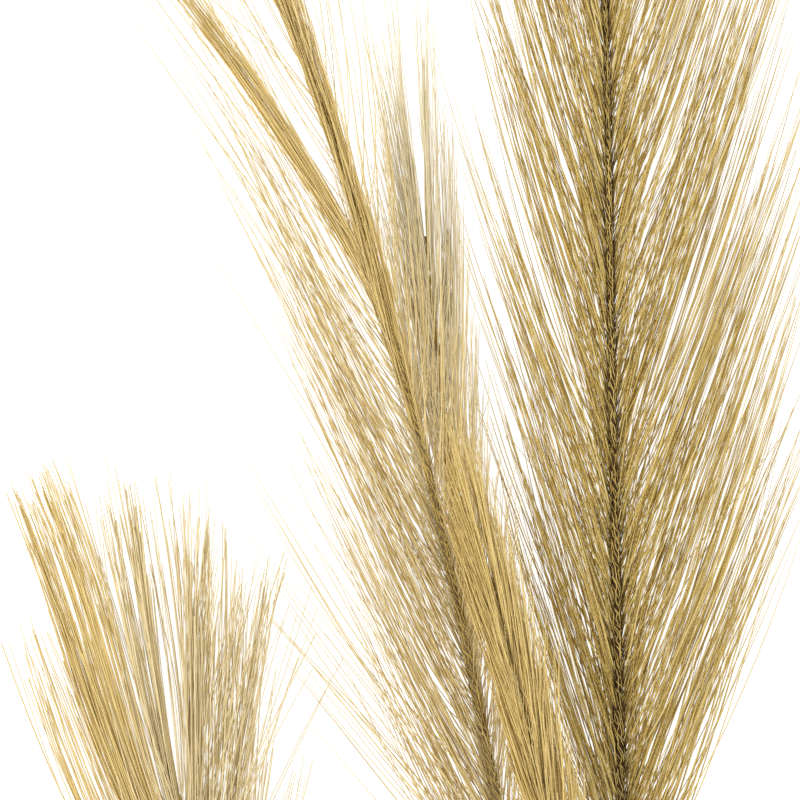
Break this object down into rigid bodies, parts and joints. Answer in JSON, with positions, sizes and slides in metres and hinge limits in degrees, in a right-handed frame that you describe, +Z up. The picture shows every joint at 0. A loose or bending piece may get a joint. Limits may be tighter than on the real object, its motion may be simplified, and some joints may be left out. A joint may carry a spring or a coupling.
{
  "type": "bundle of pampas grass",
  "caption": "Bundle of dried pampas grass lying on its side: straw-coloured stems bound with twine, with long feathery plumes fanned out at one end.",
  "frame": {"origin": "middle of the footprint of the lying bundle, on the surface it lies on", "axes": "+Y from the cut ends to the tips of the plumes, +Z up from the surface, +X to the right when seen from above with the plumes away from the viewer"},
  "size_m": [0.4068, 1.2318, 0.1219],
  "materials": {
    "stem": "matt dried straw, darker brown inside the plumes",
    "plume": "fine dry golden-beige hair, slightly silky",
    "twine": "rough natural jute"
  },
  "bodies": {
    "root": {"right_stem": "stem", "right_plume_left_branch_1": "plume", "right_plume_left_branch_2": "plume", "right_plume_left_branch_3": "plume", "right_plume_left_branch_4": "plume", "right_plume_left_branch_5": "plume", "right_plume_left_branch_6": "plume", "right_plume_left_branch_7": "plume", "right_plume_left_branch_8": "plume", "right_plume_right_branch_1": "plume", "right_plume_right_branch_2": "plume", "right_plume_right_branch_3": "plume", "right_plume_right_branch_4": "plume", "right_plume_right_branch_5": "plume", "right_plume_right_branch_6": "plume", "right_plume_right_branch_7": "plume", "right_plume_right_branch_8": "plume", "middle_stem": "stem", "middle_plume_left_branch_1": "plume", "middle_plume_left_branch_2": "plume", "middle_plume_left_branch_3": "plume", "middle_plume_left_branch_4": "plume", "middle_plume_left_branch_5": "plume", "middle_plume_left_branch_6": "plume", "middle_plume_left_branch_7": "plume", "middle_plume_right_branch_1": "plume", "middle_plume_right_branch_2": "plume", "middle_plume_right_branch_3": "plume", "middle_plume_right_branch_4": "plume", "middle_plume_right_branch_5": "plume", "middle_plume_right_branch_6": "plume", "middle_plume_right_branch_7": "plume", "back_stem": "stem", "back_plume_left_branch_1": "plume", "back_plume_left_branch_2": "plume", "back_plume_left_branch_3": "plume", "back_plume_right_branch_1": "plume", "back_plume_right_branch_2": "plume", "back_plume_right_branch_3": "plume", "front_stem": "stem", "front_plume_left_branch_1": "plume", "front_plume_left_branch_2": "plume", "front_plume_left_branch_3": "plume", "front_plume_right_branch_1": "plume", "front_plume_right_branch_2": "plume", "front_plume_right_branch_3": "plume", "left_stem": "stem", "left_plume_left_branch_1": "plume", "left_plume_left_branch_2": "plume", "left_plume_left_branch_3": "plume", "left_plume_left_branch_4": "plume", "left_plume_left_branch_5": "plume", "left_plume_right_branch_1": "plume", "left_plume_right_branch_2": "plume", "left_plume_right_branch_3": "plume", "left_plume_right_branch_4": "plume", "left_plume_right_branch_5": "plume", "twine_binding": "twine", "twine_knot": "twine"}
  },
  "joints": []
}
